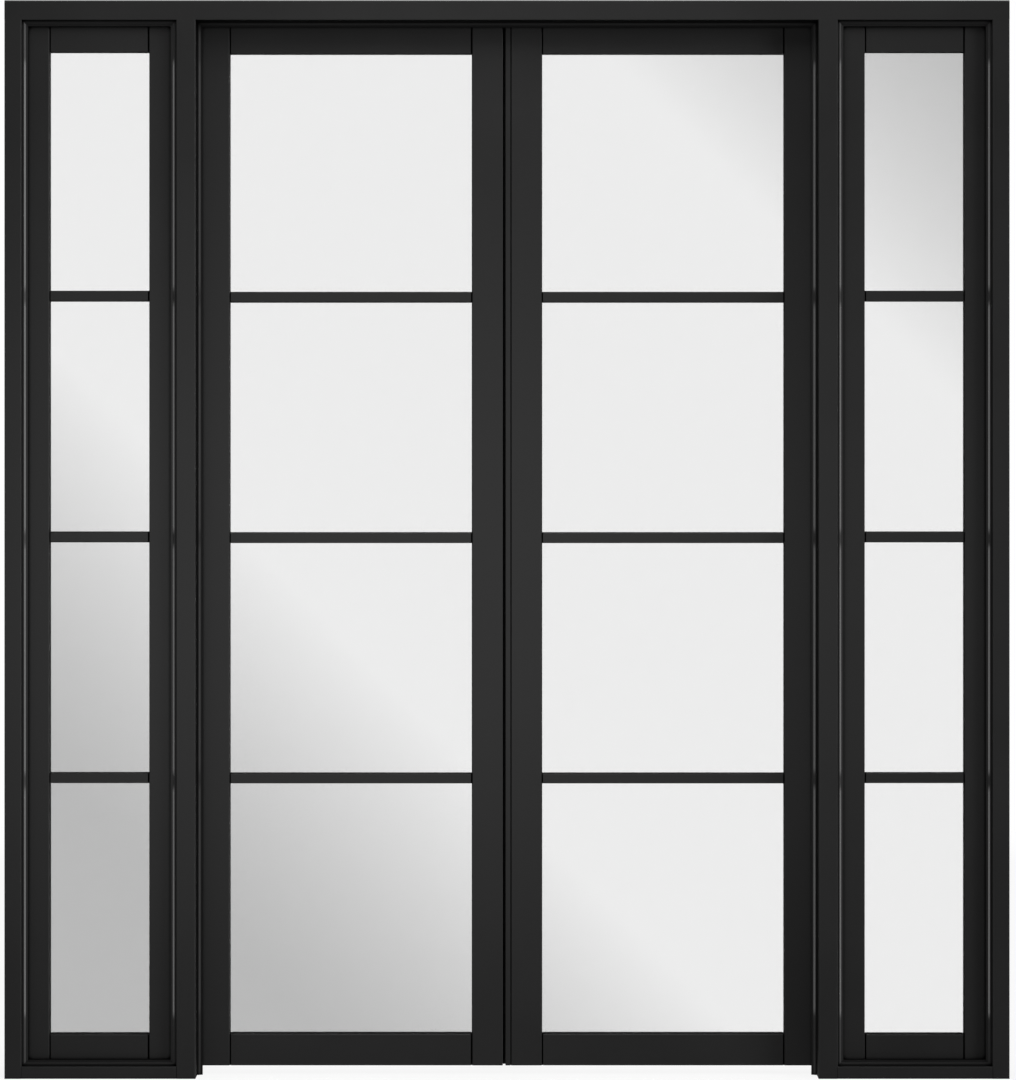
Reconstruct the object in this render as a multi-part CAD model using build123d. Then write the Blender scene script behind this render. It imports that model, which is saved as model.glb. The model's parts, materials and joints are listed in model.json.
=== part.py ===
"""A glazed double-door screen: a pair of four-light doors between two four-light sidelights.

Millimetres. X runs to the right seen from the front, Y runs away to the back, and Z is up.
The origin is on the wall face of the left jamb, at floor level, in the middle of the frame's depth.
"""

from build123d import *
import os

# Leaf sizes
LEAF_HEIGHT = 1981
LEAF_WIDTH = 576
LEAF_THICKNESS = 35
LEAF_HINGE_STILE = 55.5
LEAF_MEETING_STILE = 58
LEAF_TOP_RAIL = 54
LEAF_BOTTOM_RAIL = 59.5
LEAF_TOP_PANE = 454.5
LEAF_BAR_PITCH = 458.5
RUNNING_GAP = 5
FLOOR_GAP = 16
MEETING_STRIP = 11
BAR_HEIGHT = 18.5
BAR_COUNT = 3

# Frame sizes
JAMB_FACE = 32
MULLION_FACE = 36
HEAD_FACE = 37
SILL_FACE = 23
SIDELIGHT_OPENING = 293
ARRIS = 1
HEAD_ARRIS = 3

# Door stop and sidelight bead
STOP_RECESS = 47
STOP_DEPTH = 10
STOP_PROJECTION = 10
STOP_NOSE = 2.8
STOP_FILLET = 3.6
STOP_SPLAY_DEPTH = 3
BEAD_RECESS = 8
BEAD_PROJECTION = 11.5
BEAD_NOSE = 4.3
BEAD_FILLET = 4
BEAD_SPLAY_DEPTH = 2.6

# Sidelight panel
PANEL_RECESS = 22
PANEL_FIT = 2
PANEL_OUTER_STILE = 48.5
PANEL_INNER_STILE = 51
PANEL_TOP_RAIL = 57
PANEL_BOTTOM_RAIL = 55.5
PANEL_TOP_PANE = 453.5
PANEL_BAR_PITCH = 457

# Glass and the joints of stiles, rails and bars
GLASS_THICKNESS = 5
GLASS_RECESS = 15
GLASS_FIT = 0.3
GLASS_EDGE_GAP = 1
GROOVE_DEPTH = 6
TONGUE_GAP = 0.5
RAIL_SHADOW_GAP = 3
BAR_SHADOW_GAP = 2
STRIP_SHADOW_GAP = 1.5
SHADOW_GAP_DEPTH = 5

# Butt hinges
HINGE_HEIGHT = 100
HINGE_TOP_SETBACK = 150
HINGE_BOTTOM_SETBACK = 225
FLAP_WIDTH = 30
FLAP_THICKNESS = 2.5
PIN_DIAMETER = 5
PIN_FIT = 0.1
PIN_PROUD = 2
KNUCKLE_GAP = 0.5

# Sizes that follow from those above
MEETING_SPACE = MEETING_STRIP + RUNNING_GAP
STRIP_DEPTH = (LEAF_THICKNESS - RUNNING_GAP) / 2
DOORWAY = 2 * LEAF_WIDTH + MEETING_SPACE + 2 * RUNNING_GAP
OVERALL_WIDTH = DOORWAY + 2 * (MULLION_FACE + SIDELIGHT_OPENING + JAMB_FACE)
LEAF_TOP = FLOOR_GAP + LEAF_HEIGHT
OPENING_HEIGHT = LEAF_TOP + RUNNING_GAP
OVERALL_HEIGHT = OPENING_HEIGHT + HEAD_FACE
FRAME_DEPTH = STOP_RECESS + STOP_DEPTH + RUNNING_GAP + LEAF_THICKNESS
FRONT = -FRAME_DEPTH / 2
BACK = FRAME_DEPTH / 2
CENTRE = OVERALL_WIDTH / 2
JAMB_INNER = JAMB_FACE
MULLION_OUTER = JAMB_INNER + SIDELIGHT_OPENING
MULLION_INNER = MULLION_OUTER + MULLION_FACE
LEAF_OUTER = MULLION_INNER + RUNNING_GAP
LEAF_INNER = LEAF_OUTER + LEAF_WIDTH
LEAF_FRONT = BACK - LEAF_THICKNESS
PANEL_FRONT = FRONT + PANEL_RECESS
PANEL_MIDDLE = PANEL_FRONT + LEAF_THICKNESS / 2
GLASS_COVER = GROOVE_DEPTH - GLASS_EDGE_GAP
KNUCKLE_RADIUS = RUNNING_GAP / 2 + FLAP_THICKNESS
PIN_X = MULLION_INNER + RUNNING_GAP / 2
PIN_Y = BACK + KNUCKLE_RADIUS
MIRROR_PLANE = Plane.YZ.offset(CENTRE)


def block(x_span, y_span, z_span):
    """A square-cornered block between three pairs of low and high limits."""
    spans = (x_span, y_span, z_span)
    middle = [(low + high) / 2 for low, high in spans]
    return Pos(*middle) * Box(*[high - low for low, high in spans])


def eased(piece, axis, ease):
    """The piece with its edges along one axis planed off at 45 degrees."""
    return chamfer(piece.edges().filter_by(axis), ease)


def other_side(piece):
    """The same piece on the right half of the screen."""
    return mirror(piece, about=MIRROR_PLANE)


def write(name, *solids):
    """Save one node, made of one solid or of several like solids."""
    shape = solids[0] if len(solids) == 1 else Compound(children=list(solids))
    export_step(shape, f"parts/{name}.step")


def write_pair(name, *solids):
    """Save a left-hand node and its mirror image."""
    write(f"left_{name}", *solids)
    write(f"right_{name}", *[other_side(solid) for solid in solids])


def moulded_profile(projection, nose, fillet, splay_depth, outer_y, inner_y):
    """A stop's section: a flat nose, a splay and a flat fillet, from its outer to its inner face."""
    fillet_y = outer_y + splay_depth
    return [
        (0, outer_y),
        (nose, outer_y),
        (projection - fillet, fillet_y),
        (projection, fillet_y),
        (projection, inner_y),
        (0, inner_y),
    ]


def strip(profile, length, mitred_foot):
    """A moulding along +Z that projects along +X, mitred at its top end and, if asked, at its foot."""
    projection = max(x for x, _ in profile)
    foot = projection if mitred_foot else 0
    ends = [(0, 0), (projection, foot), (projection, length - projection), (0, length)]
    moulding = extrude(make_face(Polyline(*profile, close=True)), length, dir=(0, 0, 1))
    trim = extrude(Plane.XZ * make_face(Polyline(*ends, close=True)), FRAME_DEPTH, both=True)
    return moulding & trim


def side_strips(profile, x_span, z_span, mitred_foot):
    """The left and right uprights of a mitred surround."""
    upright = strip(profile, z_span[1] - z_span[0], mitred_foot)
    left = Pos(x_span[0], 0, z_span[0]) * upright
    right = Pos(x_span[1], 0, z_span[0]) * mirror(upright, about=Plane.YZ)
    return left, right


def cross_strips(profile, x_span, z_span):
    """The top and bottom lengths of a mitred surround."""
    length = strip(profile, x_span[1] - x_span[0], True)
    hanging = Rot(0, 90, 0) * length
    top = Pos(x_span[0], 0, z_span[1]) * hanging
    bottom = Pos(x_span[0], 0, z_span[0]) * mirror(hanging, about=Plane.XY)
    return top, bottom


def glass_groove(front):
    """The depth limits of the glass groove in a panel whose front face is at the given depth."""
    return front + GLASS_RECESS - GLASS_FIT, front + GLASS_RECESS + GLASS_THICKNESS + GLASS_FIT


def stile(x_span, y_span, z_span, groove_x):
    """An upright with eased edges and a glass groove in the side at groove_x."""
    post = eased(block(x_span, y_span, z_span), Axis.Z, ARRIS)
    groove_x_span = (groove_x - GROOVE_DEPTH, groove_x + GROOVE_DEPTH)
    return post - block(groove_x_span, glass_groove(y_span[0]), z_span)


def rail(x_span, y_span, z_span, groove_heights, shadow_gap):
    """A crosspiece with shadow gaps and a tongue at its ends, and glass grooves at the given heights."""
    body = eased(block(x_span, y_span, z_span), Axis.X, ARRIS)
    for end in x_span:
        for face in y_span:
            gap_y = (face - SHADOW_GAP_DEPTH, face + SHADOW_GAP_DEPTH)
            body -= block((end - shadow_gap, end + shadow_gap), gap_y, z_span)
    groove_y = glass_groove(y_span[0])
    tongue_reach = GROOVE_DEPTH - TONGUE_GAP
    tongue_x = (x_span[0] - tongue_reach, x_span[1] + tongue_reach)
    body += block(tongue_x, groove_y, z_span)
    for height in groove_heights:
        body -= block(tongue_x, groove_y, (height - GROOVE_DEPTH, height + GROOVE_DEPTH))
    return body


def glazed_panel(x_span, front, z_span, stile_widths, rail_widths, top_pane, bar_pitch):
    """The stiles, rails, glazing bars and panes of a four-light panel, as lists of solids by name."""
    y_span = (front, front + LEAF_THICKNESS)
    sight_x = (x_span[0] + stile_widths[0], x_span[1] - stile_widths[1])
    sight_z = (z_span[0] + rail_widths[0], z_span[1] - rail_widths[1])
    first_bar = sight_z[1] - top_pane
    bar_tops = [first_bar - place * bar_pitch for place in range(BAR_COUNT)]
    bar_spans = [(top - BAR_HEIGHT, top) for top in bar_tops]
    pane_tops = [sight_z[1]] + [low for low, _ in bar_spans]
    pane_feet = [high for _, high in bar_spans] + [sight_z[0]]
    glass_y = (front + GLASS_RECESS, front + GLASS_RECESS + GLASS_THICKNESS)
    glass_x = (sight_x[0] - GLASS_COVER, sight_x[1] + GLASS_COVER)
    return {
        "outer_stile": [stile((x_span[0], sight_x[0]), y_span, z_span, sight_x[0])],
        "inner_stile": [stile((sight_x[1], x_span[1]), y_span, z_span, sight_x[1])],
        "top_rail": [rail(sight_x, y_span, (sight_z[1], z_span[1]), [sight_z[1]], RAIL_SHADOW_GAP)],
        "bottom_rail": [rail(sight_x, y_span, (z_span[0], sight_z[0]), [sight_z[0]], RAIL_SHADOW_GAP)],
        "glazing_bars": [rail(sight_x, y_span, span, span, BAR_SHADOW_GAP) for span in bar_spans],
        "panes": [
            block(glass_x, glass_y, (foot - GLASS_COVER, top + GLASS_COVER))
            for foot, top in zip(pane_feet, pane_tops)
        ],
    }


def meeting_strip(y_span, face, z_span):
    """A strip on the left leaf's meeting edge, with a shadow gap beside the stile on the given face."""
    body = eased(block((LEAF_INNER, LEAF_INNER + MEETING_STRIP), y_span, z_span), Axis.Z, ARRIS)
    gap_x = (LEAF_INNER - STRIP_SHADOW_GAP, LEAF_INNER + STRIP_SHADOW_GAP)
    return body - block(gap_x, (face - SHADOW_GAP_DEPTH, face + SHADOW_GAP_DEPTH), z_span)


def flap(side):
    """A hinge flap's plate, upright beside the pin axis at the origin, on the side -1 or +1."""
    x_near = side * RUNNING_GAP / 2
    x_far = side * KNUCKLE_RADIUS
    x_span = (min(x_near, x_far), max(x_near, x_far))
    return block(x_span, (-KNUCKLE_RADIUS - FLAP_WIDTH, -KNUCKLE_RADIUS), (0, HINGE_HEIGHT))


def knuckle(side, foot, length):
    """One knuckle on the pin axis, with the wrap that joins it to its flap."""
    x_near = side * RUNNING_GAP / 2
    x_far = side * KNUCKLE_RADIUS
    x_span = (min(x_near, x_far), max(x_near, x_far))
    wrap = block(x_span, (-KNUCKLE_RADIUS, 0), (foot, foot + length))
    barrel = Pos(0, 0, foot + length / 2) * Cylinder(KNUCKLE_RADIUS, length)
    return wrap + barrel


def hinge():
    """A butt hinge's two halves about a pin at the origin: the frame's, with the pin, and the leaf's."""
    length = (HINGE_HEIGHT - 2 * KNUCKLE_GAP) / 3
    step = length + KNUCKLE_GAP
    pin_length = HINGE_HEIGHT + 2 * PIN_PROUD
    pin = Pos(0, 0, HINGE_HEIGHT / 2) * Cylinder(PIN_DIAMETER / 2, pin_length)
    bore = Pos(0, 0, HINGE_HEIGHT / 2) * Cylinder(PIN_DIAMETER / 2 + PIN_FIT, pin_length)
    frame_half = flap(-1) + knuckle(-1, 0, length) + knuckle(-1, 2 * step, length) + pin
    leaf_half = flap(1) + (knuckle(1, step, length) - bore)
    return frame_half, leaf_half


os.makedirs("parts", exist_ok=True)

# Places of the hinges on the left leaf, from the foot up
low_hinge = FLOOR_GAP + HINGE_BOTTOM_SETBACK
high_hinge = LEAF_TOP - HINGE_TOP_SETBACK - HINGE_HEIGHT
hinge_feet = [low_hinge, (low_hinge + high_hinge) / 2, high_hinge]
hinge_places = [Pos(PIN_X, PIN_Y, foot) for foot in hinge_feet]
frame_half, leaf_half = hinge()
write_pair("frame_hinge_flaps", *[place * frame_half for place in hinge_places])
write_pair("leaf_hinge_flaps", *[place * leaf_half for place in hinge_places])

# Frame: a head over two jambs and two mullions, with a sill under each sidelight
frame_y = (FRONT, BACK)
post_z = (0, OPENING_HEIGHT)
head = block((0, OVERALL_WIDTH), frame_y, (OPENING_HEIGHT, OVERALL_HEIGHT))
head = chamfer(head.edges().filter_by(Axis.X).group_by(Axis.Z)[-1], HEAD_ARRIS)
write("head", head)
write_pair("jamb", eased(block((0, JAMB_INNER), frame_y, post_z), Axis.Z, ARRIS))
mullion = eased(block((MULLION_OUTER, MULLION_INNER), frame_y, post_z), Axis.Z, ARRIS)
for place in hinge_places:
    mullion -= place * flap(-1)
write_pair("mullion", mullion)
sill = block((JAMB_INNER, MULLION_OUTER), frame_y, (0, SILL_FACE))
write_pair("sill", eased(sill, Axis.X, ARRIS))

# Door stop: planted round the doorway, mitred at the head
stop_front = FRONT + STOP_RECESS
stop_profile = moulded_profile(
    STOP_PROJECTION, STOP_NOSE, STOP_FILLET, STOP_SPLAY_DEPTH, stop_front, stop_front + STOP_DEPTH
)
doorway_x = (MULLION_INNER, OVERALL_WIDTH - MULLION_INNER)
left_stop, right_stop = side_strips(stop_profile, doorway_x, post_z, False)
write("left_door_stop", left_stop)
write("right_door_stop", right_stop)
write("head_door_stop", cross_strips(stop_profile, doorway_x, post_z)[0])

# Sidelight beads: mitred surrounds that hold the panel from the front and from the back
sidelight_x = (JAMB_INNER, MULLION_OUTER)
sidelight_z = (SILL_FACE, OPENING_HEIGHT)
front_bead = moulded_profile(
    BEAD_PROJECTION, BEAD_NOSE, BEAD_FILLET, BEAD_SPLAY_DEPTH, FRONT + BEAD_RECESS, PANEL_FRONT
)
back_bead = [(x, 2 * PANEL_MIDDLE - y) for x, y in front_bead]
upright_beads = []
cross_beads = []
for profile in (front_bead, back_bead):
    upright_beads += side_strips(profile, sidelight_x, sidelight_z, True)
    cross_beads += cross_strips(profile, sidelight_x, sidelight_z)
write_pair("sidelight_upright_beads", *upright_beads)
write_pair("sidelight_cross_beads", *cross_beads)

# Sidelight panels
panel = glazed_panel(
    (JAMB_INNER + PANEL_FIT, MULLION_OUTER - PANEL_FIT),
    PANEL_FRONT,
    (SILL_FACE + PANEL_FIT, OPENING_HEIGHT - PANEL_FIT),
    (PANEL_OUTER_STILE, PANEL_INNER_STILE),
    (PANEL_BOTTOM_RAIL, PANEL_TOP_RAIL),
    PANEL_TOP_PANE,
    PANEL_BAR_PITCH,
)
for name, solids in panel.items():
    write_pair(f"sidelight_{name}", *solids)

# Door leaves
leaf = glazed_panel(
    (LEAF_OUTER, LEAF_INNER),
    LEAF_FRONT,
    (FLOOR_GAP, LEAF_TOP),
    (LEAF_HINGE_STILE, LEAF_MEETING_STILE),
    (LEAF_BOTTOM_RAIL, LEAF_TOP_RAIL),
    LEAF_TOP_PANE,
    LEAF_BAR_PITCH,
)
hinge_stile = leaf.pop("outer_stile")[0]
for place in hinge_places:
    hinge_stile -= place * flap(1)
write_pair("leaf_hinge_stile", hinge_stile)
write_pair("leaf_meeting_stile", *leaf.pop("inner_stile"))
for name, solids in leaf.items():
    write_pair(f"leaf_{name}", *solids)

# Rebated meeting: a strip on the back of the left leaf's edge and on the front of the right leaf's
leaf_z = (FLOOR_GAP, LEAF_TOP)
back_strip = meeting_strip((BACK - STRIP_DEPTH, BACK), BACK, leaf_z)
front_strip = meeting_strip((LEAF_FRONT, LEAF_FRONT + STRIP_DEPTH), LEAF_FRONT, leaf_z)
write("left_leaf_meeting_strip", back_strip)
write("right_leaf_meeting_strip", other_side(front_strip))

print("overall", OVERALL_WIDTH, FRAME_DEPTH, OVERALL_HEIGHT)
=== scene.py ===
# %% [markdown]
# # A glazed double-door screen
#
# This lesson dresses a pair of black glazed doors with their frame and sidelights. The frame,
# the leaves and the hinges come ready made and stay where they are. What is left for us is the
# finish of each surface, the glazing seals, the hinge screws and pin caps, and the studio.

# %% Load the fixed frame
import json
import math

import bpy
import numpy as np
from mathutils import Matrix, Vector


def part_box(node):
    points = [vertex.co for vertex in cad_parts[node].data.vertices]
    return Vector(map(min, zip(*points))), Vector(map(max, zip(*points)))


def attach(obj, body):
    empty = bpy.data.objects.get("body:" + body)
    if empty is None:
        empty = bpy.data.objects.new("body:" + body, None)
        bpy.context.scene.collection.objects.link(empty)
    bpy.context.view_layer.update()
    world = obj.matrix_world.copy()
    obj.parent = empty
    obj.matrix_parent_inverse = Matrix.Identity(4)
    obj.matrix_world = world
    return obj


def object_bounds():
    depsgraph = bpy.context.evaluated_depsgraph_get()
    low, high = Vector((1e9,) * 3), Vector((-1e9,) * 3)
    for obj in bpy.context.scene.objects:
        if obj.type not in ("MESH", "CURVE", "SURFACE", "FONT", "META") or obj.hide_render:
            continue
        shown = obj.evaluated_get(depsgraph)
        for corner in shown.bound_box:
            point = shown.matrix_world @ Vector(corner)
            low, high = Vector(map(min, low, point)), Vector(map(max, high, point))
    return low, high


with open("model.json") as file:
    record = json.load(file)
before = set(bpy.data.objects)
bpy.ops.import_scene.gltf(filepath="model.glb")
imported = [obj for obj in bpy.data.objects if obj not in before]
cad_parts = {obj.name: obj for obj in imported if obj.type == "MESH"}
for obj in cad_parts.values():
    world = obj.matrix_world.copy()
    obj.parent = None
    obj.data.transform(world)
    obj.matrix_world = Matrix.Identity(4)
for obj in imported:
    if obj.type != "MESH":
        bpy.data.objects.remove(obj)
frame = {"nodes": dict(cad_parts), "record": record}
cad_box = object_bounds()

MM = 0.001
SIDES = ("left", "right")
nodes = frame["nodes"]
scene = bpy.context.scene
print("nodes", len(nodes), "box", [round(v, 3) for corner in cad_box for v in corner])

# %% [markdown]
# ## Colours and nodes
#
# Painters pick colours by eye, on a screen, so colours here are sRGB hex values. Blender mixes
# light, which needs linear values, so one function does that sum everywhere. A second function
# adds a shader node, sets its fields and plugs in its inputs, which keeps each material short.

# %% Colour and node helpers
def linear(hex_colour):
    """sRGB hex to linear RGBA: a straight toe below 0.04045, and a power of 2.4 above it."""
    srgb = np.array([int(hex_colour[i:i + 2], 16) for i in (1, 3, 5)]) / 255
    rgb = np.where(srgb <= 0.04045, srgb / 12.92, ((srgb + 0.055) / 1.055) ** 2.4)
    return (*rgb.tolist(), 1.0)


def add_node(tree, kind, inputs=None, **settings):
    """Add one node, set its fields, then fill each named input with a value or a link."""
    made = tree.nodes.new(kind)
    for field, value in settings.items():
        setattr(made, field, value)
    for socket, value in (inputs or {}).items():
        if isinstance(value, bpy.types.NodeSocket):
            tree.links.new(value, made.inputs[socket])
        else:
            made.inputs[socket].default_value = value
    return made


def new_material(name):
    """An empty node material with its output, ready for a shader."""
    material = bpy.data.materials.new(name)
    material.use_nodes = True
    material.node_tree.nodes.clear()
    output = add_node(material.node_tree, "ShaderNodeOutputMaterial")
    return material, material.node_tree, output


# A Mix node's sockets share names between its number and colour modes, so colours go by place
MIX_FACTOR, MIX_FIRST, MIX_SECOND, MIX_RESULT = 0, 6, 7, 2
print("middle grey in linear light", [round(v, 3) for v in linear("#808080")])

# %% [markdown]
# ## Painted shade in joints and on edge faces
#
# The members are planed timber, primed, and sprayed satin black. Shade is painted into the
# paint in a narrow joint, as a darker and duller state. An occlusion node finds such places by
# how much of their surroundings is close by. The same painted shade lies on edge faces that
# turn away from the front, found by the way they point, and a painted shadow line lies at each
# end of a bar, found by its distance from the middle. Only the outer faces at each end are left
# without painted shade.

# %% Where shade is painted into the paint
# Painted shade: how far the occlusion looks, and how much shade edges and bar ends get.
JOINT_REACH_MM, JOINT_SAMPLES = 9.0, 8
OPEN_VIEW = (0.35, 0.8)
EDGE_SLOPES, EDGE_UNSHADED = (0.8, 0.97), 0.1
WALL_FACE_MM = 1.0
BAR_END_SHADOW_MM = 2.6
middle_x = (cad_box[0].x + cad_box[1].x) / 2
half_width = (cad_box[1].x - cad_box[0].x) / 2
bar_ends = [middle_x - stile_x for stile_x in (
    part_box("left_leaf_hinge_stile")[1].x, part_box("left_leaf_meeting_stile")[0].x,
    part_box("left_sidelight_outer_stile")[1].x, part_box("left_sidelight_inner_stile")[0].x)]


def without_painted_shade(tree, place, slope, shadow_lines_at):
    """One where the paint is unshaded, less where shade is painted in joints and on edges, none on a
    bar end's painted shadow line.
    """
    # Painted shade in joints, darker where occlusion finds close surroundings.
    nearby = add_node(tree, "ShaderNodeAmbientOcclusion", {
        "Distance": JOINT_REACH_MM * MM}, samples=JOINT_SAMPLES)
    in_reach = add_node(tree, "ShaderNodeMapRange", {
        "Value": nearby.outputs["AO"], "From Min": OPEN_VIEW[0], "From Max": OPEN_VIEW[1]})
    # Painted shade on edge faces that turn away from the front.
    edge_on = add_node(tree, "ShaderNodeMapRange", {
        "Value": slope, "From Min": EDGE_SLOPES[0], "From Max": EDGE_SLOPES[1],
        "To Min": 1.0, "To Max": EDGE_UNSHADED})
    across = add_node(tree, "ShaderNodeSeparateXYZ", {"Vector": place}).outputs["X"]
    across = add_node(tree, "ShaderNodeMath", {0: across, 1: middle_x}, operation="SUBTRACT")
    from_middle = add_node(tree, "ShaderNodeMath", {0: across.outputs[0]}, operation="ABSOLUTE")
    outside = add_node(tree, "ShaderNodeMath", {
        0: from_middle.outputs[0], 1: half_width - WALL_FACE_MM * MM}, operation="GREATER_THAN")
    edge_on = add_node(tree, "ShaderNodeMath", {
        0: edge_on.outputs["Result"], 1: outside.outputs[0]}, operation="MAXIMUM")
    unshaded = add_node(tree, "ShaderNodeMath", {
        0: in_reach.outputs["Result"], 1: edge_on.outputs[0]}, operation="MULTIPLY")
    # A painted shadow line at each bar end, where the bar meets a stile.
    for joint_x in shadow_lines_at:
        at_joint = add_node(tree, "ShaderNodeMath", {
            0: from_middle.outputs[0], 1: joint_x, 2: BAR_END_SHADOW_MM * MM}, operation="COMPARE")
        unshaded = add_node(tree, "ShaderNodeMath", {
            0: unshaded.outputs[0], 1: at_joint.outputs[0]}, operation="SUBTRACT", use_clamp=True)
    return unshaded.outputs[0]


print("bar ends from the middle", [round(x, 4) for x in bar_ends])

# %% [markdown]
# ## A painted reflection of the panes on the splays
#
# The slim mouldings round the openings have a splayed face. A glossy coat lies on the splay
# beside each pane and fades out past the bars and rails: a painted reflection of the bright pane
# beside it. The bars are evenly spaced, so a ping-pong of the height gives the distance to the
# nearest one.

# %% Where the reflection of the panes is painted on the splays
# Painted reflection: which faces carry it, and how it fades near bars and rails.
SPLAY_SLOPE, SPLAY_TOLERANCE = 0.63, 0.12
BAR_HALF_MM = 9.25
REFLECTION_FADE_MM = 20.0
REFLECTION_ROUGHNESS = 0.12
bars_low, bars_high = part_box("left_leaf_glazing_bars")
lowest_bar = bars_low.z + BAR_HALF_MM * MM
bar_pitch = (bars_high.z - BAR_HALF_MM * MM - lowest_bar) / 2


def beside_panes(tree, place):
    """One beside a pane, falling smoothly to nothing near a bar and where the next bar would be."""
    height = add_node(tree, "ShaderNodeSeparateXYZ", {"Vector": place}).outputs["Z"]
    above_bar = add_node(tree, "ShaderNodeMath", {0: height, 1: lowest_bar}, operation="SUBTRACT")
    from_bar = add_node(tree, "ShaderNodeMath", {
        0: above_bar.outputs[0], 1: bar_pitch / 2}, operation="PINGPONG")
    off_bar = add_node(tree, "ShaderNodeMapRange", {
        "Value": from_bar.outputs[0], "From Min": BAR_HALF_MM * MM / 2,
        "From Max": (BAR_HALF_MM / 2 + REFLECTION_FADE_MM) * MM}, interpolation_type="SMOOTHSTEP")
    off_rails = add_node(tree, "ShaderNodeMath", {
        0: above_bar.outputs[0], 1: bar_pitch, 2: 2 * bar_pitch}, operation="COMPARE")
    return add_node(tree, "ShaderNodeMath", {
        0: off_bar.outputs["Result"], 1: off_rails.outputs[0]}, operation="MULTIPLY").outputs[0]


def paint_pane_reflection(tree, shader, place, slope, reflection_ior):
    """A glossy coat on faces at the splay's slope, beside a pane only: a painted reflection of it."""
    on_splay = add_node(tree, "ShaderNodeMath", {
        0: slope, 1: SPLAY_SLOPE, 2: SPLAY_TOLERANCE}, operation="COMPARE")
    pane_reflection = add_node(tree, "ShaderNodeMath", {
        0: on_splay.outputs[0], 1: beside_panes(tree, place)}, operation="MULTIPLY")
    tree.links.new(pane_reflection.outputs[0], shader.inputs["Coat Weight"])
    shader.inputs["Coat Roughness"].default_value = REFLECTION_ROUGHNESS
    shader.inputs["Coat IOR"].default_value = reflection_ior


print("lowest bar", round(lowest_bar, 4), "bar pitch", round(bar_pitch, 4))

# %% [markdown]
# ## Satin black paint on primed timber
#
# Up close, sprayed satin paint has a fine orange-peel ripple, and the grain under it shows as
# faint lines along each member. One flat black would look like a hole. So the colour drifts a
# little over hand-sized patches, the gloss drifts with it, and a bump carries the ripple and the
# grain. On real paint both are about a millimetre wide, too fine for this view, so they are
# drawn a few times coarser. The painted shade is darker, duller and less glossy, and the share
# worked out above mixes it with the unshaded paint. Uprights and crosspieces get their own
# version, because grain runs along the member.

# %% Paint material
# Painted shade: the last tone, roughness and tint of each pair are the darker, duller state, and the
# last specular is for the shaded copies.
PAINT_TONES, PAINTED_SHADE_TONE = ("#080808", "#0d0d0d"), "#020202"
PAINT_ROUGHNESS, PAINTED_SHADE_ROUGHNESS = (0.42, 0.52), 0.95
PAINT_TINT, PAINTED_SHADE_TINT = "#ffffff", "#1c1c1c"
PAINT_SPECULAR, SHADED_SPECULAR = 0.28, 0.13
PAINT_PATCH_MM = 160.0
GRAIN_WIDTH_MM, GRAIN_STRETCH, GRAIN_STRENGTH = 3.0, 0.02, 0.12
RIPPLE_WIDTH_MM, RIPPLE_STRENGTH = 5.0, 0.15
PAINT_RELIEF_MM = 0.1


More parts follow.
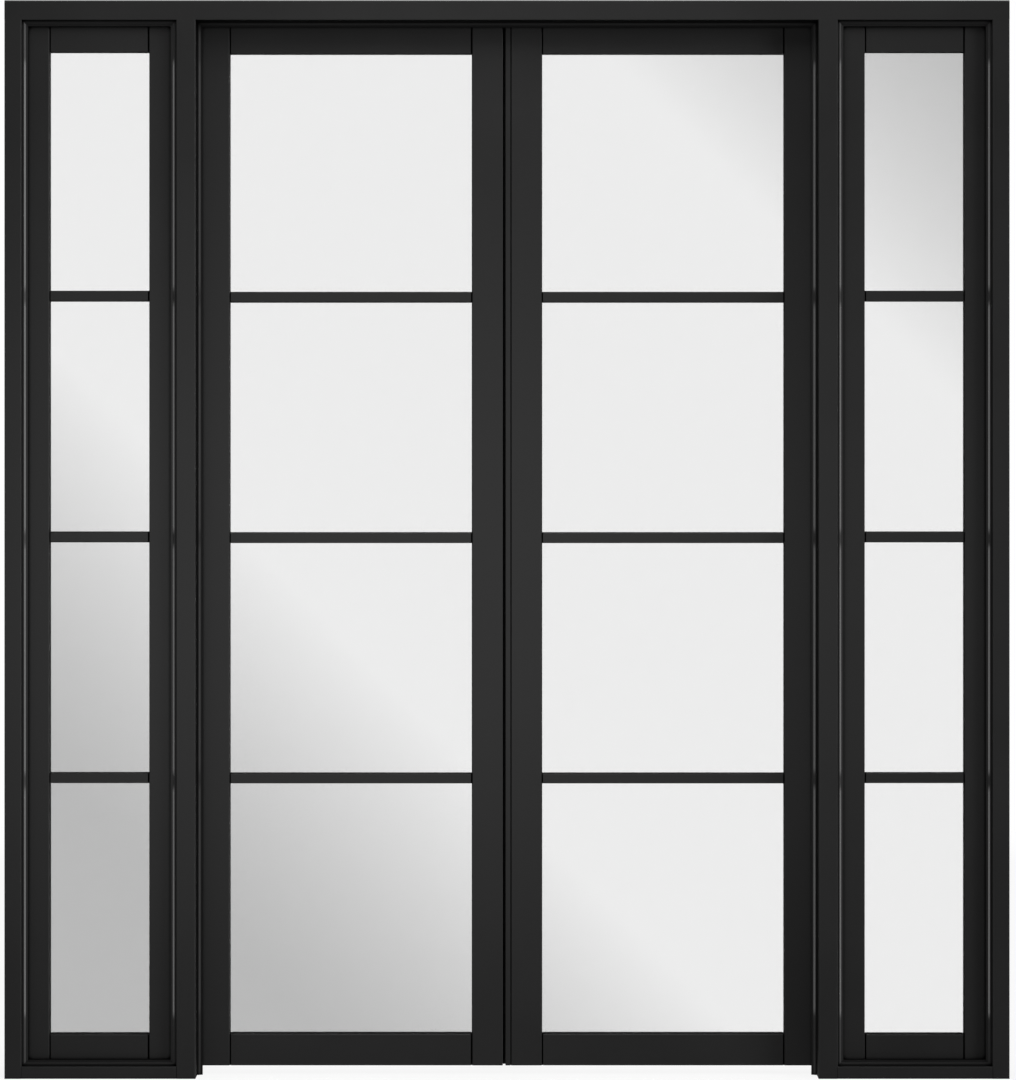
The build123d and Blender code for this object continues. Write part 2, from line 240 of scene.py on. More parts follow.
def black_paint(name, grain_along, specular=PAINT_SPECULAR, reflection_ior=None, shadow_lines_at=()):
    """Black paint with grain along X or Z, mixed from its painted shade to its unshaded state."""
    material, tree, output = new_material(name)
    spot = add_node(tree, "ShaderNodeTexCoord")
    place = spot.outputs["Object"]
    facing = add_node(tree, "ShaderNodeSeparateXYZ", {"Vector": spot.outputs["Normal"]})
    slope = add_node(tree, "ShaderNodeMath", {
        0: facing.outputs["X" if grain_along == "Z" else "Z"]}, operation="ABSOLUTE").outputs[0]
    unshaded = without_painted_shade(tree, place, slope, shadow_lines_at)
    patch = add_node(tree, "ShaderNodeTexNoise", {
        "Vector": place, "Scale": 1 / (PAINT_PATCH_MM * MM), "Detail": 3.0}).outputs["Fac"]
    tone = add_node(tree, "ShaderNodeMix", {
        MIX_FACTOR: patch, MIX_FIRST: linear(PAINT_TONES[0]),
        MIX_SECOND: linear(PAINT_TONES[1])}, data_type="RGBA")
    # The tone, gloss and tint below go towards the painted shade where the share is low.
    tone = add_node(tree, "ShaderNodeMix", {
        MIX_FACTOR: unshaded, MIX_FIRST: linear(PAINTED_SHADE_TONE),
        MIX_SECOND: tone.outputs[MIX_RESULT]}, data_type="RGBA")
    gloss = add_node(tree, "ShaderNodeMapRange", {
        "Value": patch, "To Min": PAINT_ROUGHNESS[0], "To Max": PAINT_ROUGHNESS[1]})
    gloss = add_node(tree, "ShaderNodeMapRange", {
        "Value": unshaded, "To Min": PAINTED_SHADE_ROUGHNESS, "To Max": gloss.outputs["Result"]})
    tint = add_node(tree, "ShaderNodeMix", {
        MIX_FACTOR: unshaded, MIX_FIRST: linear(PAINTED_SHADE_TINT), MIX_SECOND: linear(PAINT_TINT)},
        data_type="RGBA")
    stretch = [GRAIN_STRETCH if axis == grain_along else 1.0 for axis in "XYZ"]
    along = add_node(tree, "ShaderNodeMapping", {"Vector": place, "Scale": stretch})
    grain = add_node(tree, "ShaderNodeTexNoise", {
        "Vector": along.outputs["Vector"], "Scale": 1 / (GRAIN_WIDTH_MM * MM), "Detail": 4.0})
    ripple = add_node(tree, "ShaderNodeTexNoise", {
        "Vector": place, "Scale": 1 / (RIPPLE_WIDTH_MM * MM), "Detail": 1.0})
    grained = add_node(tree, "ShaderNodeBump", {
        "Height": grain.outputs["Fac"], "Strength": GRAIN_STRENGTH, "Distance": PAINT_RELIEF_MM * MM})
    rippled = add_node(tree, "ShaderNodeBump", {
        "Height": ripple.outputs["Fac"], "Normal": grained.outputs["Normal"],
        "Strength": RIPPLE_STRENGTH, "Distance": PAINT_RELIEF_MM * MM})
    shader = add_node(tree, "ShaderNodeBsdfPrincipled", {
        "Base Color": tone.outputs[MIX_RESULT], "Roughness": gloss.outputs["Result"],
        "Specular IOR Level": specular, "Specular Tint": tint.outputs[MIX_RESULT],
        "Normal": rippled.outputs["Normal"]})
    tree.links.new(shader.outputs["BSDF"], output.inputs["Surface"])
    # A painted reflection of the panes on the splays, where an IOR for it is given.
    if reflection_ior:
        paint_pane_reflection(tree, shader, place, slope, reflection_ior)
    return material


# The second roughness printed is that of the painted shade.
print("paint roughness", PAINT_ROUGHNESS, "thin", PAINTED_SHADE_ROUGHNESS)

# %% Paints for the members
# Lit and shaded copies: the right stop gets a stronger painted reflection, the left a weaker one.
BEAD_REFLECTION_IOR, RIGHT_STOP_REFLECTION_IOR, LEFT_STOP_REFLECTION_IOR = 1.8, 1.6, 1.25
upright_paint = black_paint("satin_black_paint_on_uprights", "Z")
cross_paint = black_paint("satin_black_paint_on_crosspieces", "X")
bar_paint = black_paint("satin_black_paint_on_bars", "X", shadow_lines_at=bar_ends)
# A shaded copy with less gloss: painted shade on the cross mouldings and head stop.
shaded_paint = black_paint("thin_black_paint_on_cross_mouldings", "X", SHADED_SPECULAR)
bead_paint = black_paint("rubbed_black_paint_on_beads", "Z", reflection_ior=BEAD_REFLECTION_IOR)
right_stop_paint = black_paint(
    "rubbed_black_paint_on_right_stop", "Z", reflection_ior=RIGHT_STOP_REFLECTION_IOR)
left_stop_paint = black_paint(
    "thin_black_paint_on_left_stop", "Z", SHADED_SPECULAR, reflection_ior=LEFT_STOP_REFLECTION_IOR)
paints = (upright_paint, cross_paint, bar_paint, shaded_paint, bead_paint, right_stop_paint,
          left_stop_paint)
print("paints", *[paint.name for paint in paints])

# %% [markdown]
# ## Clear glass with a bright sheen
#
# The panes are toughened float glass. They show a soft diagonal sheen: a bright studio wall,
# mirrored. Plain glass mirrors only a twelfth of the light, so a wall bright enough to show
# would also wash out the black paint. A coat that mirrors more gives the same sheen from a
# wall of ordinary brightness. Toughening rollers leave long, very shallow waves, which bend
# reflections a little, and those go in as bump.

# %% Glass material
GLASS_TINT = "#d6d6d6"
GLASS_IOR = 1.52
SHEEN_IOR = 3.0
WAVE_LENGTH_MM, WAVE_HEIGHT_MM, WAVE_STRENGTH = 280.0, 1.0, 0.2
WAVE_STRETCH = (0.3, 1.0, 1.0)


def toughened_glass(name):
    """Float glass with a mirroring coat and the faint waves that toughening rollers leave."""
    material, tree, output = new_material(name)
    place = add_node(tree, "ShaderNodeTexCoord").outputs["Object"]
    flatten = add_node(tree, "ShaderNodeMapping", {"Vector": place, "Scale": WAVE_STRETCH})
    waves = add_node(tree, "ShaderNodeTexNoise", {
        "Vector": flatten.outputs["Vector"], "Scale": 1 / (WAVE_LENGTH_MM * MM), "Detail": 0.0})
    bump = add_node(tree, "ShaderNodeBump", {
        "Height": waves.outputs["Fac"], "Strength": WAVE_STRENGTH,
        "Distance": WAVE_HEIGHT_MM * MM})
    shader = add_node(tree, "ShaderNodeBsdfPrincipled", {
        "Base Color": linear(GLASS_TINT), "Roughness": 0.0, "IOR": GLASS_IOR,
        "Transmission Weight": 1.0, "Coat Weight": 1.0, "Coat Roughness": 0.0,
        "Coat IOR": SHEEN_IOR, "Normal": bump.outputs["Normal"],
        "Coat Normal": bump.outputs["Normal"]})
    tree.links.new(shader.outputs["BSDF"], output.inputs["Surface"])
    return material


glass = toughened_glass("toughened_float_glass")
print("glass", glass.name)

# %% [markdown]
# ## Hinge steel, screws and glazing silicone
#
# The hinges are pressed steel with a baked black finish, a little glossier than the paint. The
# screws are blackened steel, which still looks like metal. The panes are bedded in black
# silicone, tooled to a small hollow fillet.

# %% Metal and silicone materials
FLECK_STRENGTH = 0.3


def speckled(name, dark, light, grain_mm, roughness, bump_mm, **constants):
    """A finish whose colour and gloss follow one fine noise, which also lifts the surface."""
    material, tree, output = new_material(name)
    place = add_node(tree, "ShaderNodeTexCoord").outputs["Object"]
    fleck = add_node(tree, "ShaderNodeTexNoise", {
        "Vector": place, "Scale": 1 / (grain_mm * MM), "Detail": 2.0})
    tone = add_node(tree, "ShaderNodeMix", {
        MIX_FACTOR: fleck.outputs["Fac"], MIX_FIRST: linear(dark),
        MIX_SECOND: linear(light)}, data_type="RGBA")
    gloss = add_node(tree, "ShaderNodeMapRange", {
        "Value": fleck.outputs["Fac"], "To Min": roughness[0], "To Max": roughness[1]})
    bump = add_node(tree, "ShaderNodeBump", {
        "Height": fleck.outputs["Fac"], "Strength": FLECK_STRENGTH, "Distance": bump_mm * MM})
    shader = add_node(tree, "ShaderNodeBsdfPrincipled", {
        "Base Color": tone.outputs[MIX_RESULT], "Roughness": gloss.outputs["Result"],
        "Normal": bump.outputs["Normal"], **constants})
    tree.links.new(shader.outputs["BSDF"], output.inputs["Surface"])
    return material


hinge_finish = speckled("baked_black_steel", "#161616", "#1d1d1e", 1.2, (0.34, 0.46), 0.05)
screw_finish = speckled("blackened_screw_steel", "#37373a", "#48484b", 0.8, (0.3, 0.42), 0.02,
                        Metallic=1.0)
silicone = speckled("black_glazing_silicone", "#050505", "#090909", 4.0, (0.75, 0.85), 0.05,
                    **{"Specular IOR Level": 0.2})
print("small finishes", hinge_finish.name, screw_finish.name, silicone.name)

# %% [markdown]
# ## Paint the fixed frame
#
# Each ready-made node takes one finish by what it is. Rails, bars, cross mouldings, sills and
# the head run along X. Everything else in timber stands upright, and the upright stops and
# beads among them carry the painted reflection of the panes. The cross mouldings and the head
# stop take a shaded copy of the paint with less gloss, painted shade that keeps them darker.
# The left stop takes a shaded copy with a weaker painted reflection, which paints it darker
# than the right stop.

# %% Give each node its finish
CROSS_WORDS = ("rail", "sill", "head")
STOP_PAINTS = {"left_door_stop": left_stop_paint, "right_door_stop": right_stop_paint}


def finish_for(node):
    """The finish of a node, read from the words in its name."""
    if node.endswith("panes"):
        return glass
    if node.endswith("flaps"):
        return hinge_finish
    # Painted shade: the cross mouldings and head stop take the shaded copy.
    if node.endswith(("cross_beads", "head_door_stop")):
        return shaded_paint
    if node.endswith("bars"):
        return bar_paint
    if any(word in node for word in CROSS_WORDS):
        return cross_paint
    if node.endswith("beads"):
        return bead_paint
    return STOP_PAINTS.get(node, upright_paint)


for name, node in nodes.items():
    node.data.materials.clear()
    node.data.materials.append(finish_for(name))
    node.visible_shadow = not name.endswith("panes")
print("finished nodes", len(nodes))

# %% [markdown]
# ## Meshes from arrays
#
# Every new piece is worked out as whole arrays of points and faces. One function turns them
# into an object at the origin, so that its place is in its points. Faces have to point
# outwards, and the signed volume tells: summed over a closed surface's triangles, it comes out
# negative when the faces point inwards, and then each face is read backwards.

# %% Mesh helper
def outward(points, faces):
    """The triangles, turned over if their tetrahedra about the centre add up to less than nothing."""
    corners = points[faces] - points.mean(axis=0)
    volume = np.einsum("ij,ij->", corners[:, 0], np.cross(corners[:, 1], corners[:, 2]))
    return faces if volume > 0 else faces[:, ::-1]


def mesh_piece(name, points, faces, material, smooth=False):
    """An object at the origin from an N by 3 array of points and a list of each face's corners."""
    mesh = bpy.data.meshes.new(name)
    mesh.from_pydata(np.asarray(points).tolist(), [], np.asarray(faces).tolist())
    mesh.materials.append(material)
    mesh.validate()
    mesh.polygons.foreach_set("use_smooth", np.full(len(mesh.polygons), smooth))
    piece = bpy.data.objects.new(name, mesh)
    scene.collection.objects.link(piece)
    return piece


def stacked(parts):
    """Several closed surfaces, each points and faces, as one pair of arrays."""
    starts = np.cumsum([0] + [len(points) for points, _ in parts[:-1]])
    points = np.concatenate([points for points, _ in parts])
    faces = np.concatenate([faces + start for (_, faces), start in zip(parts, starts)])
    return points, faces


def grid_triangles(rows, columns, wrap_rows):
    """Two triangles for each cell of a grid of points whose columns join up, and whose rows may."""
    row = np.arange(rows if wrap_rows else rows - 1)[:, None]
    column = np.arange(columns)[None, :]
    next_row, next_column = (row + 1) % rows, (column + 1) % columns
    near, near_next = row * columns + column, row * columns + next_column
    far, far_next = next_row * columns + column, next_row * columns + next_column
    cells = [near, near_next, far_next, near, far_next, far]
    return np.stack(cells, axis=-1).reshape(-1, 3)


def closed_rings(rings, first_pole, last_pole):
    """A surface through rings of points, in order, with a fan to one pole at each end."""
    rows, columns = rings.shape[:2]
    here = np.arange(columns)
    ahead = (here + 1) % columns
    last_ring = (rows - 1) * columns
    pole = np.full(columns, rows * columns)
    first_fan = np.stack([pole, ahead, here], axis=1)
    last_fan = np.stack([pole + 1, last_ring + here, last_ring + ahead], axis=1)
    points = np.concatenate([rings.reshape(-1, 3), [first_pole, last_pole]])
    faces = np.concatenate([grid_triangles(rows, columns, False), first_fan, last_fan])
    return points, outward(points, faces)


print("helpers ready")

# %% [markdown]
# ## Glazing seals
#
# Each pane beds in silicone on both faces, and the glazier's tool leaves a hollow fillet where
# glass meets timber. It is a profile carried round the rectangle of the opening, mitred at the
# corners. The rectangles come from the frame: stiles give the sides, rails the ends, and the
# bars, which share one node, are told apart by the gaps between their heights.

# %% Seals round the panes
SEAL_LEG_MM = 1.2
SEAL_BED_MM = 0.3
SEAL_STEPS = 6
SOLIDS_APART_MM = 100.0


def solid_heights(node):
    """Foot and top of each solid in a node, split where its corners leave a tall gap."""
    mesh = nodes[node].data
    places = np.empty(len(mesh.vertices) * 3)
    mesh.vertices.foreach_get("co", places)
    levels = np.unique(places.reshape(-1, 3)[:, 2].round(5))
    cuts = np.flatnonzero(np.diff(levels) > SOLIDS_APART_MM * MM)
    return list(zip(levels[np.r_[0, cuts + 1]], levels[np.r_[cuts, len(levels) - 1]]))


def seal_profile():
    """A hollow fillet: a quarter circle about the far corner of a square, closed behind it."""
    leg, bed = SEAL_LEG_MM * MM, SEAL_BED_MM * MM
    turn = np.linspace(0, np.pi / 2, SEAL_STEPS)
    hollow = np.stack([leg - leg * np.sin(turn), leg - leg * np.cos(turn)], axis=1)
    back = np.array([(-bed, leg), (-bed, -bed), (leg, -bed)])
    return np.concatenate([hollow, back])


def seal_loop(x_span, z_span, glass_y, out):
    """The profile at each corner of a rectangle, moved inwards along both sides alike."""
    inset, rise = seal_profile().T[:, :, None]
    x_in, z_in = np.array([1, -1, -1, 1]), np.array([1, 1, -1, -1])
    x_corner = np.where(x_in > 0, x_span[0], x_span[1])
    z_corner = np.where(z_in > 0, z_span[0], z_span[1])
    x, z = x_corner + x_in * inset, z_corner + z_in * inset
    points = np.stack([x, np.broadcast_to(glass_y + out * rise, x.shape), z], axis=-1)
    faces = grid_triangles(points.shape[0], 4, wrap_rows=True)
    points = points.reshape(-1, 3)
    return points, outward(points, faces)


def panel_seals(prefix, outer_stile, inner_stile, body):
    """Front and back seals of the four panes of one panel, as one piece."""
    stiles = sorted((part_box(prefix + outer_stile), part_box(prefix + inner_stile)),
                    key=lambda box: box[0].x)
    x_span = (stiles[0][1].x, stiles[1][0].x)
    bars = solid_heights(prefix + "glazing_bars")
    feet = [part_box(prefix + "bottom_rail")[1].z] + [high for _, high in bars]
    tops = [low for low, _ in bars] + [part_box(prefix + "top_rail")[0].z]
    pane_low, pane_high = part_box(prefix + "panes")
    loops = [seal_loop(x_span, z_span, glass_y, out) for z_span in zip(feet, tops)
             for glass_y, out in ((pane_low.y, -1), (pane_high.y, 1))]
    piece = mesh_piece(prefix + "glazing_seals", *stacked(loops), silicone)
    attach(piece, body)


for side in SIDES:
    panel_seals(f"{side}_leaf_", "hinge_stile", "meeting_stile", f"{side}_leaf")
    panel_seals(f"{side}_sidelight_", "outer_stile", "inner_stile", "frame")
bar_heights = np.round(solid_heights("left_leaf_glazing_bars"), 4).tolist()
print("seals", SEAL_LEG_MM, "mm, bars at", bar_heights)

# %% [markdown]
# ## Hinge screws
#
# A butt hinge this tall takes four countersunk screws in each flap, set in a zigzag so that
# the timber does not split along one line. Each head is a shallow dome with a cross recess.
# The dome is a height over a disc, given in rings and spokes, and the recess is a second
# height taken away where a point lies near either arm of the cross.

# %% Screw heads
SCREW_RADIUS_MM = 3.8
SCREW_DOME_MM = 0.25
SCREW_SUNK_MM = 0.8
CROSS_ARM_MM = 2.3
CROSS_HALF_WIDTH_MM = 0.55
CROSS_DEPTH_MM = 1.4
CROSS_MOUTH = 1.3
SCREW_RINGS = 12
SCREW_SPOKES = 32
SCREW_HEIGHTS = (0.14, 0.38, 0.62, 0.86)
SCREW_PLACES = (0.3, 0.68)


def screw_head():
    """Height over a disc: a parabola dome, less a cross whose walls slope, then a rim and a floor."""
    radius = np.linspace(0, SCREW_RADIUS_MM, SCREW_RINGS + 1)[1:, None]
    turn = np.linspace(0, 2 * np.pi, SCREW_SPOKES, endpoint=False)[None, :]
    across, up = radius * np.cos(turn), radius * np.sin(turn)
    near_arm = np.minimum(
        np.maximum(np.abs(across) / CROSS_HALF_WIDTH_MM, np.abs(up) / CROSS_ARM_MM),
        np.maximum(np.abs(up) / CROSS_HALF_WIDTH_MM, np.abs(across) / CROSS_ARM_MM))
    dome = SCREW_DOME_MM * (1 - (radius / SCREW_RADIUS_MM) ** 2)
    height = dome - CROSS_DEPTH_MM * np.clip(CROSS_MOUTH - near_arm, 0, 1) * np.ones_like(turn)
    floor_height = -SCREW_SUNK_MM - CROSS_DEPTH_MM
    rim = np.stack([across[-1:], up[-1:], np.full_like(turn, floor_height)], axis=-1)
    rings = np.concatenate([np.stack([across, up, height], axis=-1), rim])
    centre_height = SCREW_DOME_MM - CROSS_DEPTH_MM
    points, faces = closed_rings(rings, (0, 0, centre_height), (0, 0, floor_height))
    return points * MM, faces


def hinge_screws(side, flaps_node, face_x, facing, body):
    """Four screw heads on each flap of a node, facing along X on its visible face."""
    head, faces = screw_head()
    flap_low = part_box(flaps_node)[0]
    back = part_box(f"{side}_mullion")[1].y
    heads = []
    for foot, top in solid_heights(f"{side}_leaf_hinge_flaps"):
        for number, share in enumerate(SCREW_HEIGHTS):
            y = flap_low.y + SCREW_PLACES[number % 2] * (back - flap_low.y)
            z = foot + share * (top - foot)
            points = np.stack([face_x + facing * head[:, 2], y + head[:, 0], z + head[:, 1]], axis=1)
            heads.append((points, outward(points, faces)))
    piece = mesh_piece(flaps_node.replace("flaps", "screws"), *stacked(heads), screw_finish)
    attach(piece, body)


for side, facing in zip(SIDES, (1, -1)):
    mullion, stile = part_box(f"{side}_mullion"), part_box(f"{side}_leaf_hinge_stile")
    frame_face, leaf_face = (mullion[1].x, stile[0].x) if facing > 0 else (mullion[0].x, stile[1].x)
    hinge_screws(side, f"{side}_frame_hinge_flaps", frame_face, facing, "frame")
    hinge_screws(side, f"{side}_leaf_hinge_flaps", leaf_face, -facing, f"{side}_leaf")
print("screws per flap", len(SCREW_HEIGHTS))

# %% [markdown]
# ## Pin caps
#
# A pressed cap closes each end of a hinge pin, so that no raw end shows. It is a small dome
# turned about the pin: a profile of radius and height, carried round the axis.

# %% Caps on the hinge pins
CAP_RADIUS_MM = 4.2
CAP_HEIGHT_MM = 2.6
CAP_SKIRT_MM = 1.2
CAP_STEPS = 8
CAP_SPOKES = 28
PIN_PROUD_MM = 2.0


def pin_cap(centre, seat_z, up):
    """A quarter ellipse of radius against height, on a short straight skirt, turned round an axis."""
    rise = np.linspace(0, np.pi / 2, CAP_STEPS, endpoint=False)
    radius = MM * np.r_[CAP_RADIUS_MM, CAP_RADIUS_MM * np.cos(rise)][:, None]
    height = MM * np.r_[0, CAP_SKIRT_MM + (CAP_HEIGHT_MM - CAP_SKIRT_MM) * np.sin(rise)][:, None]
    turn = np.linspace(0, 2 * np.pi, CAP_SPOKES, endpoint=False)
    rings = np.stack([centre[0] + radius * np.cos(turn), centre[1] + radius * np.sin(turn),
                      seat_z + up * height * np.ones_like(turn)], axis=-1)
    tip_z = seat_z + up * MM * CAP_HEIGHT_MM
    return closed_rings(rings, (*centre[:2], seat_z), (*centre[:2], tip_z))


joints = {joint["name"]: joint for joint in frame["record"]["behaviour"]["joints"]}
for side in SIDES:
    pin_place = joints[f"{side}_leaf_hinge"]["pos_m"]
    caps = []
    for foot, top in solid_heights(f"{side}_frame_hinge_flaps"):
        caps.append(pin_cap(pin_place, foot + PIN_PROUD_MM * MM, -1))
        caps.append(pin_cap(pin_place, top - PIN_PROUD_MM * MM, 1))
    piece = mesh_piece(f"{side}_hinge_pin_caps", *stacked(caps), hinge_finish, smooth=True)
    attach(piece, "frame")
    print(piece.name, len(caps), "caps at", [round(v, 4) for v in pin_place[:2]])

# %% [markdown]
# ## The camera
#
# The photograph looks straight at the screen from about eight metres, from above mid-height.
# Upright lines stay upright, so the camera is level, and its lens is shifted to frame the whole
# height. One photograph pixel on the front face is a known length, which gives the focal
# length, and the row of the horizon gives the camera's height.

# %% Camera
FRAME_PIXELS = (1016, 1080)
PIXEL_MM = 1.89
CAMERA_DISTANCE_MM = 8100.0
SENSOR_MM = 36.0
HORIZON_ROW = 410.4
CENTRE_COLUMN = 507.0
FOOT_ROW = 1078.9
front_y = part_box("head")[0].y
focal_pixels = CAMERA_DISTANCE_MM / PIXEL_MM
camera_data = bpy.data.cameras.new("camera")
camera_data.sensor_width = SENSOR_MM
camera_data.lens = SENSOR_MM * focal_pixels / max(FRAME_PIXELS)
camera_data.shift_x = (FRAME_PIXELS[0] / 2 - CENTRE_COLUMN) / max(FRAME_PIXELS)
camera_data.shift_y = (HORIZON_ROW - FRAME_PIXELS[1] / 2) / max(FRAME_PIXELS)
camera = bpy.data.objects.new("camera", camera_data)
scene.collection.objects.link(camera)
camera_z = (FOOT_ROW - HORIZON_ROW) * PIXEL_MM * MM
camera.location = (middle_x, front_y - CAMERA_DISTANCE_MM * MM, camera_z)
camera.rotation_euler = (math.pi / 2, 0, 0)
scene.camera = camera
print("camera height", round(camera_z, 3), "lens", round(camera_data.lens, 2))

# %% [markdown]
# ## The studio
#
# The floor is pale and the background white. The world gives soft light from everywhere, and
# looks plain white to the camera, in mirrors and through glass. The floor is pale near the
# doors, where their shadow falls, and turns to that same white further off and through glass.

# %% World
STUDIO_WHITE = "#ffffff"
WORLD_LIGHT = 0.45
scene.view_settings.view_transform = "Standard"
world = bpy.data.worlds.new("white_studio")
world.use_nodes = True
tree = world.node_tree
tree.nodes.clear()
world_path = add_node(tree, "ShaderNodeLightPath")
seen = add_node(tree, "ShaderNodeMath", {
    0: world_path.outputs["Is Camera Ray"], 1: world_path.outputs["Is Glossy Ray"]},
    operation="MAXIMUM")
seen = add_node(tree, "ShaderNodeMath", {
    0: seen.outputs[0], 1: world_path.outputs["Is Transmission Ray"]}, operation="MAXIMUM")
strength = add_node(tree, "ShaderNodeMapRange", {
    "Value": seen.outputs[0], "To Min": WORLD_LIGHT, "To Max": 1.0})
sky = add_node(tree, "ShaderNodeBackground", {
    "Color": linear(STUDIO_WHITE), "Strength": strength.outputs["Result"]})
add_node(tree, "ShaderNodeOutputWorld", {"Surface": sky.outputs[0]})
scene.world = world
print("world light", WORLD_LIGHT)

# %% Floor
FLOOR_COLOUR = "#f4f4f4"
FLOOR_REACH = 30.0
FLOOR_NEAR, FLOOR_FAR = 0.8, 5.0
FLOOR_LIFT = 0.88
floor_paint, tree, output = new_material("pale_floor")
floor_shader = add_node(tree, "ShaderNodeBsdfDiffuse", {"Color": linear(FLOOR_COLOUR)})
floor_white = add_node(tree, "ShaderNodeEmission", {
    "Color": linear(STUDIO_WHITE), "Strength": 1.0})
floor_place = add_node(tree, "ShaderNodeTexCoord").outputs["Object"]
floor_centre = add_node(tree, "ShaderNodeVectorMath", {
    0: floor_place, 1: (middle_x, 0, 0)}, operation="DISTANCE")
floor_fade = add_node(tree, "ShaderNodeMapRange", {
    "Value": floor_centre.outputs["Value"], "From Min": FLOOR_NEAR, "From Max": FLOOR_FAR},
    interpolation_type="SMOOTHSTEP")
floor_path = add_node(tree, "ShaderNodeLightPath")
floor_lit = add_node(tree, "ShaderNodeMath", {
    0: floor_path.outputs["Is Camera Ray"], 1: FLOOR_LIFT}, operation="MULTIPLY")
floor_lit = add_node(tree, "ShaderNodeMath", {
    0: floor_lit.outputs[0], 1: floor_path.outputs["Is Transmission Ray"]}, operation="MAXIMUM")
floor_lit = add_node(tree, "ShaderNodeMath", {
    0: floor_lit.outputs[0], 1: floor_fade.outputs["Result"]}, operation="MAXIMUM")
floor_mix = add_node(tree, "ShaderNodeMixShader", {
    0: floor_lit.outputs[0], 1: floor_shader.outputs[0], 2: floor_white.outputs[0]})
tree.links.new(floor_mix.outputs[0], output.inputs["Surface"])


def flat_sheet(name, x_span, y_span, z_span, material):
    """One flat quad between opposite corners, lying level or standing across Y."""
    (x0, x1), (y0, y1), (z0, z1) = x_span, y_span, z_span
    if z0 == z1:
        points = [(x0, y0, z0), (x1, y0, z0), (x1, y1, z0), (x0, y1, z0)]
    else:
        points = [(x0, y0, z0), (x0, y0, z1), (x1, y0, z1), (x1, y0, z0)]
    sheet = mesh_piece(name, points, [(0, 1, 2, 3)], material)
    return sheet


floor = flat_sheet("floor", (middle_x - FLOOR_REACH, middle_x + FLOOR_REACH),
                   (-FLOOR_REACH, FLOOR_REACH), (0, 0), floor_paint)
floor.visible_glossy = False
print("floor reach", FLOOR_REACH)

# %% [markdown]
# ## The wall that the panes mirror
#
# A graded wall stands behind the camera, and only mirrors see it. It is white along a slanting
# band and falls away to dark on both sides, which puts the soft diagonal sheen on the panes. A
# mirror doubles the distance, so the wall is drawn larger than the panes by the ratio of the
# light's whole path to the camera's.

# %% Graded wall behind the camera
WALL_Y = -5.2
WALL_LEVEL = 1.27
WALL_HALF_WIDTH = 1.75
WALL_BELOW, WALL_ABOVE = 2.1, 1.45
BAND_MIDDLE_PIXELS = -130.0
BAND_FLAT_PIXELS = 430.0
BAND_FADE_PIXELS = 435.0
BAND_FADE_POWER = 1.4
wall_scale = (CAMERA_DISTANCE_MM * MM + front_y - WALL_Y) / focal_pixels
band_offset = (HORIZON_ROW - CENTRE_COLUMN - BAND_MIDDLE_PIXELS) * wall_scale
wall_paint, tree, output = new_material("graded_wall")
wall_place = add_node(tree, "ShaderNodeTexCoord").outputs["Object"]
wall_slant = add_node(tree, "ShaderNodeVectorMath", {
    0: wall_place, 1: (1, 0, 1)}, operation="DOT_PRODUCT")
from_band = add_node(tree, "ShaderNodeMath", {
    0: wall_slant.outputs["Value"], 1: middle_x + camera_z + band_offset}, operation="SUBTRACT")
from_band = add_node(tree, "ShaderNodeMath", {0: from_band.outputs[0]}, operation="ABSOLUTE")
fade = add_node(tree, "ShaderNodeMapRange", {
    "Value": from_band.outputs[0], "From Min": BAND_FLAT_PIXELS * wall_scale,
    "From Max": (BAND_FLAT_PIXELS + BAND_FADE_PIXELS) * wall_scale, "To Min": 1.0, "To Max": 0.0})
fade = add_node(tree, "ShaderNodeMath", {
    0: fade.outputs["Result"], 1: BAND_FADE_POWER}, operation="POWER")
level = add_node(tree, "ShaderNodeMath", {0: fade.outputs[0], 1: WALL_LEVEL}, operation="MULTIPLY")
glow = add_node(tree, "ShaderNodeEmission", {
    "Color": linear(STUDIO_WHITE), "Strength": level.outputs[0]})
tree.links.new(glow.outputs[0], output.inputs["Surface"])
wall = flat_sheet("graded_wall", (middle_x - WALL_HALF_WIDTH, middle_x + WALL_HALF_WIDTH),
                  (WALL_Y, WALL_Y), (camera_z - WALL_BELOW, camera_z + WALL_ABOVE), wall_paint)
print("wall is", round(wall_scale * 1000, 2), "mm for each photograph pixel")

# %% [markdown]
# ## A scrim for the paint
#
# Satin paint has a broad gloss, so it shows a soft glow of what stands in front of it. In the
# photograph that glow is strongest in the middle and fades towards the foot and the right. A
# scrim close by gives it, graded outwards from one point. Light Path tells a sharp mirror's ray
# from a broad one's, so the panes look straight through the scrim to the wall behind it.

# %% Scrim in front of the doors
SCRIM_Y = -1.6
SCRIM_HALF_WIDTH = 2.6
SCRIM_BELOW, SCRIM_ABOVE = 2.3, 2.4
SCRIM_CENTRE = (0.67, SCRIM_Y, 0.92)
SCRIM_SQUEEZE = (1.0, 1.0, 1.45)
SCRIM_NEAR, SCRIM_FAR = 0.2, 1.9
SCRIM_BRIGHT, SCRIM_DIM = 2.05, 0.13
scrim_cloth, tree, output = new_material("graded_scrim")
scrim_place = add_node(tree, "ShaderNodeTexCoord").outputs["Object"]
from_centre = add_node(tree, "ShaderNodeVectorMath", {
    0: scrim_place, 1: SCRIM_CENTRE}, operation="SUBTRACT")
from_centre = add_node(tree, "ShaderNodeVectorMath", {
    0: from_centre.outputs["Vector"], 1: SCRIM_SQUEEZE}, operation="MULTIPLY")
from_centre = add_node(tree, "ShaderNodeVectorMath", {
    0: from_centre.outputs["Vector"]}, operation="LENGTH")
glow_level = add_node(tree, "ShaderNodeMapRange", {
    "Value": from_centre.outputs["Value"], "From Min": SCRIM_NEAR, "From Max": SCRIM_FAR,
    "To Min": SCRIM_BRIGHT, "To Max": SCRIM_DIM}, interpolation_type="SMOOTHSTEP")
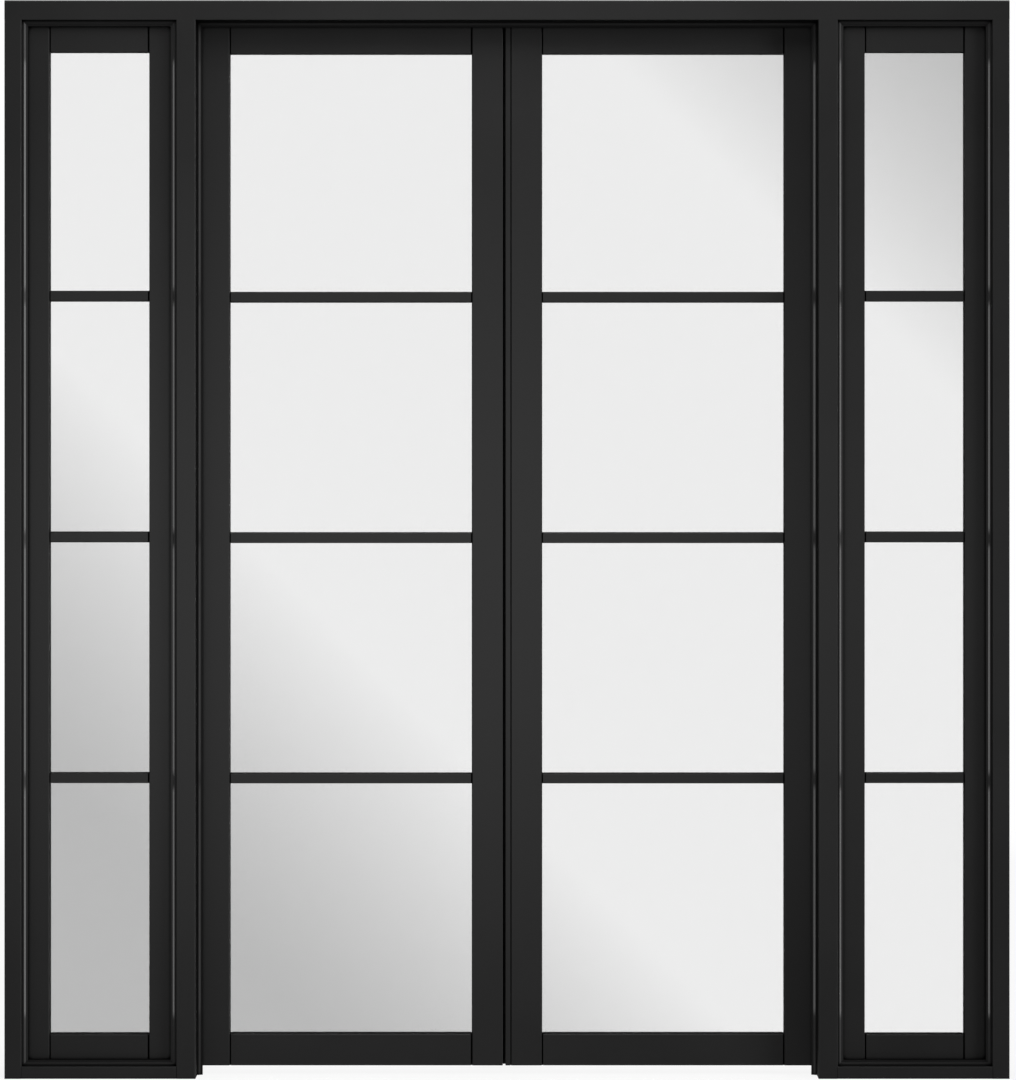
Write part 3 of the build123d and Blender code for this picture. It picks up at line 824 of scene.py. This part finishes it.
scrim_glow = add_node(tree, "ShaderNodeEmission", {
    "Color": linear(STUDIO_WHITE), "Strength": glow_level.outputs["Result"]})
scrim_clear = add_node(tree, "ShaderNodeBsdfTransparent")
scrim_path = add_node(tree, "ShaderNodeLightPath")
scrim_mix = add_node(tree, "ShaderNodeMixShader", {
    0: scrim_path.outputs["Is Singular Ray"], 1: scrim_glow.outputs[0], 2: scrim_clear.outputs[0]})
tree.links.new(scrim_mix.outputs[0], output.inputs["Surface"])
scrim = flat_sheet("graded_scrim", (middle_x - SCRIM_HALF_WIDTH, middle_x + SCRIM_HALF_WIDTH),
                   (SCRIM_Y, SCRIM_Y), (camera_z - SCRIM_BELOW, camera_z + SCRIM_ABOVE), scrim_cloth)
for sheet in (wall, scrim):
    sheet.visible_camera = False
    sheet.visible_diffuse = False
    sheet.visible_transmission = False
    sheet.visible_shadow = False
print("scrim", -SCRIM_Y, "m in front, from", SCRIM_BRIGHT, "down to", SCRIM_DIM)

# %% [markdown]
# ## Light from above and from the right
#
# A softbox over the front gives the paint a direction of light: heads and rails catch it on
# their upper edges, and the doors throw a faint shadow on the floor behind them. In the
# photograph each face just left of a post is darker than the one just right of it, so a weak
# distant lamp shines from the upper right, and the posts shade what stands back beside them.

# %% Overhead softbox
SOFTBOX_WATTS = 26.0
SOFTBOX_SIZE = (1.2, 1.0)
SOFTBOX_PLACE = (middle_x, -1.0, 3.1)
SOFTBOX_TILT = math.radians(29)
softbox_data = bpy.data.lights.new("overhead_softbox", "AREA")
softbox_data.shape = "RECTANGLE"
softbox_data.size, softbox_data.size_y = SOFTBOX_SIZE
softbox_data.energy = SOFTBOX_WATTS
softbox = bpy.data.objects.new("overhead_softbox", softbox_data)
softbox.location = SOFTBOX_PLACE
softbox.rotation_euler = (SOFTBOX_TILT, 0, 0)
scene.collection.objects.link(softbox)
print("softbox", SOFTBOX_WATTS, "W")

# %% Light from the right
SIDE_LIGHT = 2.4
SIDE_LIGHT_WAY = (-0.8, 0.5, -0.17)
SIDE_LIGHT_SPREAD = math.radians(15)
side_data = bpy.data.lights.new("side_light", "SUN")
side_data.energy = SIDE_LIGHT
side_data.angle = SIDE_LIGHT_SPREAD
side_light = bpy.data.objects.new("side_light", side_data)
side_light.rotation_euler = Vector(SIDE_LIGHT_WAY).to_track_quat("-Z", "Y").to_euler()
scene.collection.objects.link(side_light)
print("side light", SIDE_LIGHT, "along", SIDE_LIGHT_WAY)
